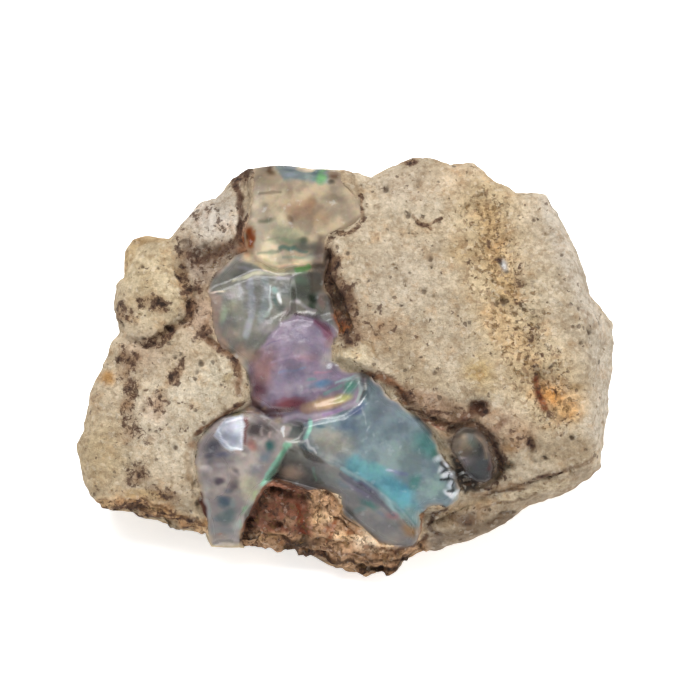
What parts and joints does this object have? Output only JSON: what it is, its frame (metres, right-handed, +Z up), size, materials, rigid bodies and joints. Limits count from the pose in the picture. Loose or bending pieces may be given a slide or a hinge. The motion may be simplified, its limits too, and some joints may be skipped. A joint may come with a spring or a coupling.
{
  "type": "rough opal specimen",
  "caption": "Rough opal in host rock: a broken pale volcanic lump with a glassy seam of play-of-colour opal across its face.",
  "frame": {"origin": "on the surface that the specimen lies on, under the middle of its bounding box", "axes": "+Z up; +X to the right across the broad opal face; +Y to the rear, away from the side that the face leans towards"},
  "size_m": [0.0536, 0.037, 0.0275],
  "materials": {
    "host_rock": "dry, weathered, pale cream to buff volcanic rock with brown iron stains; matt and granular",
    "milky_opal": "translucent precious opal, grey to mauve and blue-green, with green, orange and blue play of colour; glassy conchoidal breaks",
    "dark_opal": "dark grey translucent opal, glassy, lightly pitted"
  },
  "bodies": {
    "root": {"host_rock": "host_rock", "opal_seam": "milky_opal", "opal_nodule": "dark_opal"}
  },
  "joints": []
}
